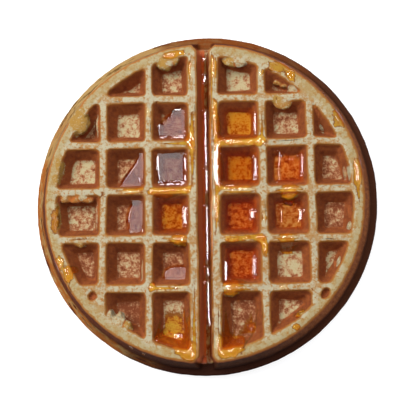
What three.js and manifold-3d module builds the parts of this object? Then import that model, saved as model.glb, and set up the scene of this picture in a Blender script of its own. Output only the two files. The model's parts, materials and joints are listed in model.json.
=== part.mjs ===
// A round Belgian-style waffle with syrup standing in its pockets.
// Units are millimetres, +Z is up, and the origin is the middle of the underside.
// Both faces carry the same grid of square pockets, and a straight groove halves each face.

import * as THREE from "three";
import { mergeVertices } from "three/addons/utils/BufferGeometryUtils.js";
import Module from "manifold-3d";

const wasm = await Module();
wasm.setup();

// ---- Driving dimensions -------------------------------------------------------------------

// The round body, seen from the side.
const THICKNESS = 28;
const SEAM_RADIUS = 90; // the ridge where the two plates of the iron met
const SEAM_THICKNESS = 3.6;
const SEAM_EDGE = 0.8; // bevel on the ridge's outer edges
const WALL_FOOT_RADIUS = 86.9; // where the side wall meets the ridge
const RIM_RADIUS = 82.8; // outer edge of each face
const RIM_ROUNDING = 1.4;
const ROUND_SEGMENTS = 72;

// The pockets of one face.
const POCKET_RADIUS = 77.2; // the pockets end at this circle
const PIT_RADIUS = 79.2; // and the pit in the south-east corner at this one
const POCKET_DEPTH = 10.5;
const WALL_INSET = 4.3; // how far a pocket's wall leans in from top to floor
const POCKET_CORNER = 1.8; // corner radius at the mouth
const FLOOR_CORNER = 0.9; // corner radius at the floor
const RIB_WIDTH = 3.5;

// The middles of the ribs, from west to east and from north to south.
const WEST_RIBS = [-52.3, -28.2];
const EAST_RIBS = [31.4, 56.2];
const ROW_RIBS = [53.7, 29.7, 5.1, -20.0, -45.3];

// The batter set slightly askew: mm of drift for each mm along a rib.
const COLUMN_LEAN = -0.008;
const ROW_LEAN = -0.006;

// The groove that halves each face, and the bar of crust on either side of it.
const GROOVE_MIDDLE = 0.7;
const GROOVE_WIDTH = 6.6;
const GROOVE_DEPTH = 12;
const GROOVE_WALL_INSET = 1.6;
const BAR_WIDTH = 4.5;
const HALF_MOON_CORNER = 3; // rounding of the half-moons where the groove runs out

// The syrup.
const SYRUP_GAP = 0.3; // clearance between a pool and the crust around it
const GROOVE_SYRUP_DEPTH = 2.2;
const GROOVE_SYRUP_ENDS = [-74, 60]; // south and north end of the strip

// Each pool: its column (0 to 5 from the west), its row (0 to 5 from the north), the height
// of its surface below the face, and how much of the floor it leaves dry on one side.
const POOLS = [
  { column: 2, row: 1, below: 6.0 },
  { column: 1, row: 2, below: 4.5, dryWest: 4.5 },
  { column: 2, row: 2, below: 5.0 },
  { column: 1, row: 3, below: 5.5, dryWest: 6.0 },
  { column: 2, row: 3, below: 3.0 },
  { column: 2, row: 4, below: 7.0, dryNorth: 4.5 },
  { column: 3, row: 1, below: 4.0 },
  { column: 3, row: 2, below: 2.0 },
  { column: 3, row: 3, below: 3.5 },
  { column: 3, row: 4, below: 4.0 },
  { column: 4, row: 2, below: 4.5 },
  { column: 4, row: 3, below: 6.0 },
];

// ---- Materials ----------------------------------------------------------------------------

const crust = new THREE.MeshStandardMaterial({ color: 0xb98a52, roughness: 0.8, metalness: 0 });
const syrup = new THREE.MeshStandardMaterial({ color: 0xb4560e, roughness: 0.1, metalness: 0 });

// ---- Geometry helpers ---------------------------------------------------------------------

// Turns a closed three.js geometry into a solid that can be joined and cut.
function toSolid(geometry) {
  geometry.deleteAttribute("normal");
  geometry.deleteAttribute("uv");
  const merged = mergeVertices(geometry, 1e-4);
  const index = merged.index.array;
  const triangles = [];
  for (let i = 0; i < index.length; i += 3) {
    const [a, b, c] = [index[i], index[i + 1], index[i + 2]];
    if (a !== b && b !== c && c !== a) triangles.push(a, b, c);
  }
  const mesh = new wasm.Mesh({
    numProp: 3,
    vertProperties: Float32Array.from(merged.attributes.position.array),
    triVerts: Uint32Array.from(triangles),
  });
  return new wasm.Manifold(mesh);
}

// Turns a solid back into a three.js geometry.
function toGeometry(solid) {
  const { vertProperties, triVerts } = solid.getMesh();
  const geometry = new THREE.BufferGeometry();
  geometry.setAttribute("position", new THREE.BufferAttribute(vertProperties, 3));
  geometry.setIndex(new THREE.BufferAttribute(triVerts, 1));
  geometry.computeVertexNormals();
  return geometry;
}

// A solid of revolution about Z from a profile of [radius, height] points, lowest first.
function turned(profile) {
  const points = profile.map(([radius, height]) => new THREE.Vector2(radius, height));
  const geometry = new THREE.LatheGeometry(points, ROUND_SEGMENTS);
  geometry.rotateX(Math.PI / 2);
  return toSolid(geometry);
}

// A solid between two level outlines with the same number of points, both anticlockwise.
function lofted(lower, lowerHeight, upper, upperHeight) {
  const count = lower.length;
  const positions = [
    ...lower.flatMap(([x, y]) => [x, y, lowerHeight]),
    ...upper.flatMap(([x, y]) => [x, y, upperHeight]),
  ];
  const faces = [];
  const asVectors = (outline) => outline.map(([x, y]) => new THREE.Vector2(x, y));
  for (const [a, b, c] of THREE.ShapeUtils.triangulateShape(asVectors(lower), [])) {
    faces.push(c, b, a);
  }
  for (const [a, b, c] of THREE.ShapeUtils.triangulateShape(asVectors(upper), [])) {
    faces.push(count + a, count + b, count + c);
  }
  for (let i = 0; i < count; i += 1) {
    const next = (i + 1) % count;
    faces.push(i, next, count + next, i, count + next, count + i);
  }
  const geometry = new THREE.BufferGeometry();
  geometry.setAttribute("position", new THREE.Float32BufferAttribute(positions, 3));
  geometry.setIndex(faces);
  return toSolid(geometry);
}

// Moves a point of the true square grid to where the askew grid has it.
function askew([x, y]) {
  return [x + COLUMN_LEAN * y, y + ROW_LEAN * x];
}

// A rectangle with rounded corners, drawn in by an inset, as an anticlockwise outline.
function roundedRectangle({ west, east, south, north }, inset, radius) {
  const corners = [
    [east - inset - radius, north - inset - radius, 0],
    [west + inset + radius, north - inset - radius, 1],
    [west + inset + radius, south + inset + radius, 2],
    [east - inset - radius, south + inset + radius, 3],
  ];
  const outline = [];
  for (const [x, y, quarter] of corners) {
    for (let step = 0; step <= 2; step += 1) {
      const angle = (quarter + step / 2) * (Math.PI / 2);
      outline.push([x + radius * Math.cos(angle), y + radius * Math.sin(angle)]);
    }
  }
  return outline.map(askew);
}

// ---- The grid -----------------------------------------------------------------------------

const grooveWest = GROOVE_MIDDLE - GROOVE_WIDTH / 2;
const grooveEast = GROOVE_MIDDLE + GROOVE_WIDTH / 2;
const halfRib = RIB_WIDTH / 2;

// West and east edge of each column's mouths. The outer columns run on past the rim.
const columns = [
  [-SEAM_RADIUS, WEST_RIBS[0] - halfRib],
  [WEST_RIBS[0] + halfRib, WEST_RIBS[1] - halfRib],
  [WEST_RIBS[1] + halfRib, grooveWest - BAR_WIDTH],
  [grooveEast + BAR_WIDTH, EAST_RIBS[0] - halfRib],
  [EAST_RIBS[0] + halfRib, EAST_RIBS[1] - halfRib],
  [EAST_RIBS[1] + halfRib, SEAM_RADIUS],
];

// South and north edge of each row's mouths.
const rowEdges = [SEAM_RADIUS, ...ROW_RIBS, -SEAM_RADIUS];
const rows = rowEdges.slice(1).map((southRib, i) => [southRib + halfRib, rowEdges[i] - halfRib]);

function cellAt(column, row) {
  const [west, east] = columns[column];
  const [south, north] = rows[row];
  return { west, east, south, north };
}

// How far a pocket's wall stands in from its mouth at a depth below the face.
function wallInset(depth) {
  return (WALL_INSET * depth) / POCKET_DEPTH;
}

function pocketOutline(cell, depth, extraInset = 0) {
  const share = Math.max(0, depth / POCKET_DEPTH);
  const radius = POCKET_CORNER + (FLOOR_CORNER - POCKET_CORNER) * share;
  return roundedRectangle(cell, wallInset(depth) + extraInset, radius);
}

// ---- The crust ----------------------------------------------------------------------------

const CLEAR = 1; // how far the cutters stand above the face

// The side profile: a flat face, a rounded rim, a sloping wall and the seam ridge, mirrored.
function bodyProfile() {
  const middle = THICKNESS / 2;
  const ridge = SEAM_THICKNESS / 2;
  const upper = [
    [SEAM_RADIUS, middle + ridge - SEAM_EDGE],
    [SEAM_RADIUS - SEAM_EDGE, middle + ridge],
    [WALL_FOOT_RADIUS, middle + ridge],
  ];
  const bend = 2; // steps in the rim's rounding
  for (let step = 0; step <= bend; step += 1) {
    const angle = (step / bend) * (Math.PI / 2);
    const x = RIM_RADIUS - RIM_ROUNDING + RIM_ROUNDING * Math.cos(angle);
    upper.push([x, THICKNESS - RIM_ROUNDING + RIM_ROUNDING * Math.sin(angle)]);
  }
  upper.push([0, THICKNESS]);
  const lower = upper.map(([radius, height]) => [radius, THICKNESS - height]).reverse();
  return [...lower, ...upper];
}

// The cutter for one pocket, as wide as its cell.
function cellCutter(column, row) {
  const cell = cellAt(column, row);
  const mouth = pocketOutline(cell, -CLEAR);
  return lofted(pocketOutline(cell, POCKET_DEPTH), THICKNESS - POCKET_DEPTH, mouth, THICKNESS + CLEAR);
}

// The space inside a circle on the face, narrowing downwards as the pockets' walls do.
function insideCircle(radius) {
  return turned([
    [0, THICKNESS - POCKET_DEPTH],
    [radius - WALL_INSET, THICKNESS - POCKET_DEPTH],
    [radius + wallInset(CLEAR), THICKNESS + CLEAR],
    [0, THICKNESS + CLEAR],
  ]);
}

// Every pocket of the upper face as one cutter, trimmed to the circle inside the rim.
function pocketCutter() {
  let cutter = null;
  for (let column = 0; column < columns.length; column += 1) {
    for (let row = 0; row < rows.length; row += 1) {
      const pocket = cellCutter(column, row);
      cutter = cutter ? cutter.add(pocket) : pocket;
    }
  }
  const pit = cellCutter(columns.length - 1, rows.length - 1).intersect(insideCircle(PIT_RADIUS));
  return cutter.intersect(insideCircle(POCKET_RADIUS)).add(pit);
}

// The groove's outline at a depth: a strip whose ends flare to round the half-moons' corners.
function grooveOutline(depth) {
  const half = GROOVE_WIDTH / 2 - (GROOVE_WALL_INSET * depth) / GROOVE_DEPTH;
  const flareStart = RIM_RADIUS - HALF_MOON_CORNER;
  const beyond = SEAM_RADIUS + CLEAR;
  const northEast = [];
  for (let step = 0; step <= 3; step += 1) {
    const angle = (step / 3) * (Math.PI / 2);
    const x = half + HALF_MOON_CORNER * (1 - Math.cos(angle));
    northEast.push([x, flareStart + HALF_MOON_CORNER * Math.sin(angle)]);
  }
  northEast.push([half + HALF_MOON_CORNER, beyond]);
  const flip = (points, sx, sy) => points.map(([x, y]) => [sx * x, sy * y]);
  const outline = [
    ...northEast,
    ...flip(northEast, -1, 1).reverse(),
    ...flip(northEast, -1, -1),
    ...flip(northEast, 1, -1).reverse(),
  ];
  return outline.map(([x, y]) => askew([x + GROOVE_MIDDLE, y]));
}

function grooveCutter() {
  const floor = THICKNESS - GROOVE_DEPTH;
  return lofted(grooveOutline(GROOVE_DEPTH), floor, grooveOutline(-CLEAR), THICKNESS + CLEAR);
}

// The same cuts on the underside: the upper ones mirrored through the middle height.
function mirroredBelow(cutter) {
  return cutter.mirror([0, 0, 1]).translate([0, 0, THICKNESS]);
}

function makeWaffle() {
  const cuts = pocketCutter().add(grooveCutter());
  return turned(bodyProfile()).subtract(cuts).subtract(mirroredBelow(cuts));
}

// ---- The syrup ----------------------------------------------------------------------------

// A pool that fills its pocket from just above the floor up to its level surface.
function makePool({ column, row, below, dryWest = 0, dryNorth = 0 }) {
  const cell = cellAt(column, row);
  const wetted = { ...cell, west: cell.west + dryWest, north: cell.north - dryNorth };
  const lowest = POCKET_DEPTH - SYRUP_GAP;
  const lower = pocketOutline(wetted, lowest, SYRUP_GAP);
  const upper = pocketOutline(wetted, below, SYRUP_GAP);
  return lofted(lower, THICKNESS - lowest, upper, THICKNESS - below);
}

// The strip of syrup that lies along the groove.
function makeGrooveSyrup() {
  const [south, north] = GROOVE_SYRUP_ENDS;
  const lowest = GROOVE_DEPTH - SYRUP_GAP;
  const highest = lowest - GROOVE_SYRUP_DEPTH;
  const outlineAt = (depth) => {
    const wall = (GROOVE_WALL_INSET * depth) / GROOVE_DEPTH + SYRUP_GAP;
    const strip = { west: grooveWest + wall, east: grooveEast - wall, south, north };
    return roundedRectangle(strip, 0, FLOOR_CORNER);
  };
  return lofted(outlineAt(lowest), THICKNESS - lowest, outlineAt(highest), THICKNESS - highest);
}

// ---- The object ---------------------------------------------------------------------------

const waffleGroup = new THREE.Group();

function addPiece(name, solid, material) {
  const mesh = new THREE.Mesh(toGeometry(solid), material);
  mesh.name = name;
  waffleGroup.add(mesh);
}

addPiece("waffle", makeWaffle(), crust);
addPiece("syrup_groove", makeGrooveSyrup(), syrup);
for (const pool of POOLS) {
  addPiece(`syrup_column_${pool.column + 1}_row_${pool.row + 1}`, makePool(pool), syrup);
}

export default waffleGroup;
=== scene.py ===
# %% [markdown]
# # A round waffle with syrup
# This lesson bakes a deep-pocketed waffle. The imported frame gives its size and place. We model the
# crust from a cylinder and cut its pockets, then pour the syrup, and last set up a small studio.

# %% Load the frame
import json
import math
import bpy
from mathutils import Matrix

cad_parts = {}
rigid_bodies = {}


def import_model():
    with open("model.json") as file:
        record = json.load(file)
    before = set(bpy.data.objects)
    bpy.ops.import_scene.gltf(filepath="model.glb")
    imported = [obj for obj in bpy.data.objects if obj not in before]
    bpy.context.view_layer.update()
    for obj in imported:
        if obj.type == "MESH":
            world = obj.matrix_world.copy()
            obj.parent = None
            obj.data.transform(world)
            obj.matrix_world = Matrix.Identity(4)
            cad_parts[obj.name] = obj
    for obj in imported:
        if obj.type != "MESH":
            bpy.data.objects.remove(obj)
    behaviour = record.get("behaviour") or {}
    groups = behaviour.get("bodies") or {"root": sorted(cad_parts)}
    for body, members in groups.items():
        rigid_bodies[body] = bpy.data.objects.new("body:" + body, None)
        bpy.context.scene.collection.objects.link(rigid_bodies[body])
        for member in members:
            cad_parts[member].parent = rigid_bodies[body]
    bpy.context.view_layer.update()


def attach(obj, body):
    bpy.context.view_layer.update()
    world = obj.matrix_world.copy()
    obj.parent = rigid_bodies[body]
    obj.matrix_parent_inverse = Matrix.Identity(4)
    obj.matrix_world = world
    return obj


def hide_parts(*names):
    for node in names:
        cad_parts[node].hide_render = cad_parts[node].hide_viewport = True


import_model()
from types import SimpleNamespace

import bpy
import numpy as np
from mathutils import Matrix, Vector, noise
from mathutils.bvhtree import BVHTree

# %% [markdown]
# ## Measures
# All sizes below are in millimetres, as a cook's ruler would give them, and MM turns them into
# metres where a mesh is made. They are the same driving sizes that the frame was cut with.

# %% Sizes of the waffle
MM = 0.001

THICKNESS = 28.0
MIDDLE = THICKNESS / 2
SEAM_RADIUS = 90.0
SEAM_THICKNESS = 3.6
WALL_FOOT_RADIUS = 86.9
RIM_RADIUS = 82.8
RIM_ROUNDING = 1.4

POCKET_RADIUS = 77.2
POCKET_DEPTH = 10.5
WALL_INSET = 4.3
POCKET_CORNER = 1.3
RIB_WIDTH = 3.5

WEST_RIBS = [-52.3, -28.2]
EAST_RIBS = [31.4, 56.2]
ROW_RIBS = [53.7, 29.7, 5.1, -20.0, -45.3]

GROOVE_MIDDLE = 0.7
GROOVE_WIDTH = 6.6
GROOVE_DEPTH = 12.0
GROOVE_WALL_INSET = 1.6
BAR_WIDTH = 4.5
HALF_MOON_CORNER = 3.0

groove_west = GROOVE_MIDDLE - GROOVE_WIDTH / 2
groove_east = GROOVE_MIDDLE + GROOVE_WIDTH / 2
half_rib = RIB_WIDTH / 2
columns = [
    (-SEAM_RADIUS, WEST_RIBS[0] - half_rib),
    (WEST_RIBS[0] + half_rib, WEST_RIBS[1] - half_rib),
    (WEST_RIBS[1] + half_rib, groove_west - BAR_WIDTH),
    (groove_east + BAR_WIDTH, EAST_RIBS[0] - half_rib),
    (EAST_RIBS[0] + half_rib, EAST_RIBS[1] - half_rib),
    (EAST_RIBS[1] + half_rib, SEAM_RADIUS),
]
row_edges = [SEAM_RADIUS, *ROW_RIBS, -SEAM_RADIUS]
rows = [(low + half_rib, high - half_rib) for high, low in zip(row_edges, row_edges[1:])]


def cell_at(column, row):
    """West, east, south and north edge of a pocket's mouth. Columns and rows count from 1."""
    return (*columns[column - 1], *rows[row - 1])


print("columns:", columns)
print("rows:", rows)

# %% [markdown]
# ## Working by hand, in code
# An operator acts on what is selected, so these helpers clear the selection, choose faces or edges
# by where they lie, and apply a modifier as soon as it is added.

# %% Helpers for modelling


def only(*pieces):
    bpy.ops.object.select_all(action="DESELECT")
    for piece in pieces:
        piece.select_set(True)
        bpy.context.view_layer.objects.active = piece


def choose(piece, kind, test):
    """Opens edit mode with only the faces or edges selected whose place passes the test."""
    only(piece)
    mesh = piece.data
    bpy.ops.object.mode_set(mode="EDIT")
    bpy.ops.mesh.select_mode(type="FACE" if kind == "faces" else "EDGE")
    bpy.ops.mesh.select_all(action="DESELECT")
    bpy.ops.object.mode_set(mode="OBJECT")
    if kind == "faces":
        for face in mesh.polygons:
            face.select = bool(test(face.center, face.normal))
    else:
        for edge in mesh.edges:
            ends = [mesh.vertices[i].co for i in edge.vertices]
            edge.select = bool(test(*ends))
    bpy.ops.object.mode_set(mode="EDIT")


def done():
    bpy.ops.object.mode_set(mode="OBJECT")


def apply_modifier(piece, kind, **settings):
    only(piece)
    modifier = piece.modifiers.new(kind.title(), kind)
    for name, value in settings.items():
        setattr(modifier, name, value)
    bpy.ops.object.modifier_apply(modifier=modifier.name)


def join(pieces, name):
    only(*reversed(pieces))
    bpy.ops.object.join()
    joined = bpy.context.object
    joined.name = joined.data.name = name
    return joined


def settle(piece):
    """Puts the piece's place, turn and scale into its mesh."""
    only(piece)
    bpy.ops.object.transform_apply(location=True, rotation=True, scale=True)


def triangles(piece):
    return sum(len(face.vertices) - 2 for face in piece.data.polygons)


def places(piece):
    flat = np.empty(len(piece.data.vertices) * 3, np.float32)
    piece.data.vertices.foreach_get("co", flat)
    return flat.reshape(-1, 3).astype(float) / MM


def set_places(piece, points):
    piece.data.vertices.foreach_set("co", (points * MM).astype(np.float32).ravel())
    piece.data.update()


# %% [markdown]
# ## The body
# An iron's two plates meet at half height, where a thin ridge of batter squeezes out. So the body
# starts as that ridge, a flat cylinder, and each cap is inset, pulled out and drawn in to a rim.

# %% Body
ROUND = 192

bpy.ops.object.select_all(action="DESELECT")
bpy.ops.mesh.primitive_cylinder_add(
    vertices=ROUND,
    radius=SEAM_RADIUS * MM,
    depth=SEAM_THICKNESS * MM,
    location=(0, 0, MIDDLE * MM),
)
crust = bpy.context.object
crust.name = crust.data.name = "waffle_crust"
settle(crust)
for side in (1, -1):
    choose(crust, "faces", lambda centre, normal: normal.z * side > 0.9)
    bpy.ops.mesh.inset(thickness=(SEAM_RADIUS - WALL_FOOT_RADIUS) * MM)
    rise = side * (MIDDLE - SEAM_THICKNESS / 2) * MM
    bpy.ops.mesh.extrude_region_move(TRANSFORM_OT_translate={"value": (0, 0, rise)})
    draw_in = RIM_RADIUS / WALL_FOOT_RADIUS
    bpy.ops.transform.resize(value=(draw_in, draw_in, 1))
    bpy.ops.mesh.bevel(offset=RIM_ROUNDING * MM, segments=3)
    done()
print("body:", [round(size / MM, 1) for size in crust.dimensions], "mm")

# %% [markdown]
# ## The pockets
# Each stud of the iron is a tapered block. We make one cube for each pocket, draw its lower face
# in, round its upright corners, and trim them all with a cone just inside the rim. Two corner studs
# barely reached the batter and left round pits, which squashed balls cut.

# %% Pocket cutters
CLEAR = 1.0
# column and row of the two corner studs, then their pits' middle, half sizes and turn
CORNER_PITS = {
    (1, 6): (-57.4, -48.9, 2.1, 2.3, 3.4, 0),
    (6, 6): (61.2, -48.7, 2.2, 2.9, 4.2, -30),
}
# a cell with less than this much of its near corner inside the rim is no pocket
LEAST_POCKET = 1.5


def wall_inset(depth):
    return WALL_INSET * depth / POCKET_DEPTH


def tapered_block(west, east, south, north, depth, draw, corner):
    """A block that stands CLEAR above the face and narrows by draw on each side down to depth."""
    flare = draw / depth * CLEAR
    wide = east - west + 2 * flare
    long = north - south + 2 * flare
    tall = depth + CLEAR
    middle = ((west + east) / 2, (south + north) / 2, THICKNESS - depth + tall / 2)
    bpy.ops.object.select_all(action="DESELECT")
    bpy.ops.mesh.primitive_cube_add(
        size=1,
        location=[place * MM for place in middle],
        scale=(wide * MM, long * MM, tall * MM),
    )
    block = bpy.context.object
    settle(block)
    choose(block, "faces", lambda centre, normal: normal.z < -0.9)
    narrow = (wide - 2 * (draw + flare)) / wide
    short = (long - 2 * (draw + flare)) / long
    bpy.ops.transform.resize(value=(narrow, short, 1))
    done()
    if corner:
        choose(block, "edges", lambda a, b: abs(a.z - b.z) > depth / 2 * MM)
        bpy.ops.mesh.bevel(offset=corner * MM, segments=3)
        done()
    return block


def is_pocket(west, east, south, north):
    """A cell is a pocket if enough of it lies inside the rim."""
    nearest_x = min(abs(west), abs(east)) if west * east > 0 else 0.0
    nearest_y = min(abs(south), abs(north)) if south * north > 0 else 0.0
    return math.hypot(nearest_x, nearest_y) < POCKET_RADIUS - LEAST_POCKET


def pit_ball(x, y, half_wide, half_long, depth, turn):
    bpy.ops.object.select_all(action="DESELECT")
    bpy.ops.mesh.primitive_uv_sphere_add(
        segments=24,
        ring_count=16,
        radius=MM,
        location=(x * MM, y * MM, THICKNESS * MM),
        rotation=(0, 0, math.radians(turn)),
        scale=(half_wide, half_long, depth),
    )
    ball = bpy.context.object
    settle(ball)
    return ball


studs = []
for column in range(1, 7):
    for row in range(1, 7):
        cell = cell_at(column, row)
        if (column, row) not in CORNER_PITS and is_pocket(*cell):
            studs.append(tapered_block(*cell, POCKET_DEPTH, WALL_INSET, POCKET_CORNER))
print("pockets:", len(studs), "and", len(CORNER_PITS), "pits")
pocket_cutter = join(studs, "cutter")

bpy.ops.object.select_all(action="DESELECT")
bpy.ops.mesh.primitive_cone_add(
    vertices=ROUND,
    radius1=(POCKET_RADIUS - WALL_INSET) * MM,
    radius2=(POCKET_RADIUS + wall_inset(CLEAR)) * MM,
    depth=(POCKET_DEPTH + CLEAR) * MM,
    location=(0, 0, (THICKNESS - POCKET_DEPTH + (POCKET_DEPTH + CLEAR) / 2) * MM),
)
trim = bpy.context.object
apply_modifier(pocket_cutter, "BOOLEAN", operation="INTERSECT", object=trim, solver="EXACT")
bpy.data.objects.remove(trim)
pit_balls = [pit_ball(*pit) for pit in CORNER_PITS.values()]

# %% [markdown]
# ## The groove
# A long tapered block halves the face. At both ends it flares, so that the half-moons get round
# corners. Then a mirrored copy of all the cutters does the underside.

# %% Groove cutter
groove = tapered_block(
    groove_west, groove_east, -SEAM_RADIUS - 2, SEAM_RADIUS + 2, GROOVE_DEPTH, GROOVE_WALL_INSET, 0
)
FLARE_START = RIM_RADIUS - HALF_MOON_CORNER
for end in (1, -1):
    only(groove)
    for cut in (FLARE_START, RIM_RADIUS):
        bpy.ops.object.mode_set(mode="EDIT")
        bpy.ops.mesh.select_all(action="SELECT")
        bpy.ops.mesh.bisect(plane_co=(0, end * cut * MM, 0), plane_no=(0, 1, 0))
        done()
    past_rim = (RIM_RADIUS - 0.1) * MM
    choose(groove, "edges", lambda a, b: min(a.y * end, b.y * end) > past_rim)
    widen = (GROOVE_WIDTH + 2 * HALF_MOON_CORNER) / GROOVE_WIDTH
    bpy.ops.transform.resize(
        value=(widen, 1, 1), center_override=(GROOVE_MIDDLE * MM, 0, 0)
    )
    done()

cutter = join([pocket_cutter, *pit_balls, groove], "cutter")
only(cutter)
bpy.ops.object.duplicate()
under_cutter = bpy.context.object
bpy.ops.transform.resize(value=(1, 1, -1), center_override=(0, 0, MIDDLE * MM))
settle(under_cutter)
bpy.ops.object.mode_set(mode="EDIT")
bpy.ops.mesh.select_all(action="SELECT")
bpy.ops.mesh.normals_make_consistent(inside=False)
done()
for tool in (cutter, under_cutter):
    apply_modifier(crust, "BOOLEAN", operation="DIFFERENCE", object=tool, solver="EXACT")
    bpy.data.objects.remove(tool)
print("cut crust:", triangles(crust), "triangles")

# %% [markdown]
# ## An uneven grid
# No iron is quite square. Each rib leans by its own small amount, and the rim stays round. The same
# function places the syrup later, so that it stays in its pockets.

# %% Lean the ribs
UPRIGHT_RIBS = [-52.3, -28.2, 0.0, 31.4, 56.2]
UPRIGHT_LEANS = [0.0002, -0.0016, -0.0100, -0.0099, -0.0142]
LEVEL_RIBS = [-45.3, -20.0, 5.1, 29.7, 53.7]
LEVEL_LEANS = [-0.0030, -0.0075, -0.0050, -0.0043, -0.0108]


def askew(points):
    inner = np.clip((RIM_RADIUS - np.hypot(points[:, 0], points[:, 1])) / 6.0, 0, 1)
    moved = points.copy()
    x, y = points[:, 0], points[:, 1]
    moved[:, 0] += y * np.interp(x, UPRIGHT_RIBS, UPRIGHT_LEANS) * inner
    moved[:, 1] += x * np.interp(y, LEVEL_RIBS, LEVEL_LEANS) * inner
    return moved


set_places(crust, askew(places(crust)))

# %% [markdown]
# ## Lumps of batter
# Where the iron was overfull or lifted early, batter hangs over a pocket's edge or sticks to its
# floor. Each lump is a squashed ball joined to the crust before it is baked into one skin. Its tone
# says how it browned: 1 stayed pale, -1 went golden. The last three are low bulges below a rib's
# edge, which hold up the drops of syrup that hang there.

# %% Lumps
# x, y, z, then the three half sizes, then tone
LUMPS = [
    (-65.4, 42.6, 25.2, 5.4, 6.4, 3.4, -1.0),
    (-64.0, 49.0, 26.2, 2.6, 1.8, 1.8, -0.9),
    (-55.9, 41.5, 23.5, 0.8, 5.5, 2.4, 0.6),
    (-19.5, 74.0, 25.6, 4.2, 4.6, 2.5, -0.9),
    (-15.5, 75.0, 26.0, 3.0, 3.0, 2.0, -0.6),
    (-17.5, 73.0, 26.2, 1.6, 1.2, 1.5, 0.8),
    (17.0, 73.8, 25.2, 6.4, 3.4, 2.6, -0.7),
    (20.0, 73.2, 25.8, 3.2, 2.8, 2.2, 0.9),
    (39.0, 62.0, 22.0, 2.6, 1.0, 1.6, -0.6),
    (43.2, 60.2, 22.6, 2.6, 1.0, 1.8, -0.5),
    (47.8, 58.2, 23.6, 2.8, 2.4, 3.4, 0.7),
    (41.6, 51.4, 26.2, 5.2, 4.8, 1.7, -0.5),
    (43.8, 53.4, 26.8, 2.4, 1.8, 1.2, 0.6),
    (38.6, 52.6, 26.6, 2.2, 1.6, 1.4, -0.9),
    (63.8, 44.8, 19.8, 2.3, 2.6, 2.2, 0.9),
    (63.0, 39.4, 18.8, 1.9, 2.4, 1.6, 0.8),
    (-76.0, 20.5, 25.0, 2.4, 6.2, 3.0, -0.8),
    (-77.6, 12.8, 26.2, 2.2, 3.0, 1.8, -0.8),
    (-72.4, 1.8, 25.8, 2.6, 2.4, 2.2, -0.4),
    (-67.0, 1.4, 25.0, 3.4, 2.0, 2.6, -0.3),
    (-61.0, 1.2, 25.0, 3.4, 1.8, 2.6, -0.4),
    (-63.0, 2.6, 26.2, 2.2, 1.4, 1.7, 0.9),
    (-77.4, -9.0, 25.8, 2.0, 8.5, 2.4, -0.9),
    (-55.9, -7.0, 23.6, 0.7, 7.2, 2.2, 0.5),
    (-64.0, -21.6, 25.2, 2.6, 1.8, 2.6, -0.5),
    (-31.9, -36.0, 23.4, 0.7, 6.2, 2.0, 0.5),
    (-47.6, -61.6, 24.2, 6.4, 3.0, 3.4, 1.0),
    (-43.0, -62.8, 24.2, 3.6, 3.2, 3.4, 1.0),
    (-48.4, -58.6, 23.4, 1.5, 2.6, 4.2, 0.9),
    (-43.6, -59.2, 23.0, 2.3, 2.4, 4.4, 0.9),
    (-39.4, -64.4, 24.2, 2.4, 3.2, 3.2, -0.7),
    (73.2, 13.2, 21.8, 0.8, 3.6, 2.2, 0.5),
    (76.0, 13.8, 25.2, 1.2, 4.6, 2.2, 0.9),
    (74.6, -8.6, 20.8, 0.7, 5.4, 2.0, 0.2),
    (77.2, -8.4, 25.0, 0.9, 5.2, 2.0, -0.4),
    (75.4, -14.4, 24.0, 1.8, 1.8, 2.4, 0.9),
    (69.0, -35.0, 23.4, 1.0, 4.4, 2.2, 0.9),
    (66.8, -35.5, 20.6, 0.7, 4.0, 2.0, -0.2),
    (50.4, -59.0, 24.4, 3.4, 1.6, 2.6, -1.0),
    (-57.0, -55.4, 25.0, 3.2, 2.6, 2.6, 0.5),
    (-12.4, -21.6, 25.4, 3.0, 2.0, 1.9, -1.0),
    (14.2, -47.4, 25.2, 3.6, 2.4, 1.9, -1.0),
    (44.6, 1.8, 24.6, 3.4, 2.4, 1.8, -1.0),
]

bpy.ops.object.select_all(action="DESELECT")
bpy.ops.mesh.primitive_ico_sphere_add(subdivisions=3, radius=MM)
ball = bpy.context.object
round_places = places(ball)
lumps = []
for x, y, z, *half_sizes, tone in LUMPS:
    only(ball)
    bpy.ops.object.duplicate()
    lump = bpy.context.object
    own = Vector((x, y, 0))
    dents = np.array([noise.noise(Vector(p) * 1.2 + own) for p in round_places])
    set_places(lump, round_places * (1 + 0.22 * dents)[:, None] * half_sizes + (x, y, z))
    lumps.append(lump)
bpy.data.objects.remove(ball)
crust = join([crust, *lumps], "waffle_crust")
print("lumps:", len(LUMPS))

# %% [markdown]
# ## Baking it
# Batter has no sharp edges. A voxel remesh gives one even fine skin, and smoothing rounds the ribs.
# The underside is thinned more than the face. Then every point is moved a little by noise, so that
# no rib is straight, and small cracks are pressed in, with one dark line that is painted shadow.

# %% Remesh, smooth and thin out
VOXEL = 0.6
MOST_TRIANGLES = 192_000
# up to this height the crust keeps only a share of its triangles
UNDERSIDE, UNDERSIDE_KEPT = 9.0, 0.16

apply_modifier(crust, "REMESH", mode="VOXEL", voxel_size=VOXEL * MM)
apply_modifier(crust, "SMOOTH", factor=0.5, iterations=2)
print("remeshed crust:", triangles(crust), "triangles")
choose(crust, "faces", lambda centre, normal: centre.z < UNDERSIDE * MM)
bpy.ops.mesh.decimate(ratio=UNDERSIDE_KEPT)
done()
if triangles(crust) > MOST_TRIANGLES:
    apply_modifier(crust, "DECIMATE", ratio=MOST_TRIANGLES / triangles(crust))
print("thinned crust:", triangles(crust), "triangles")

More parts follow.
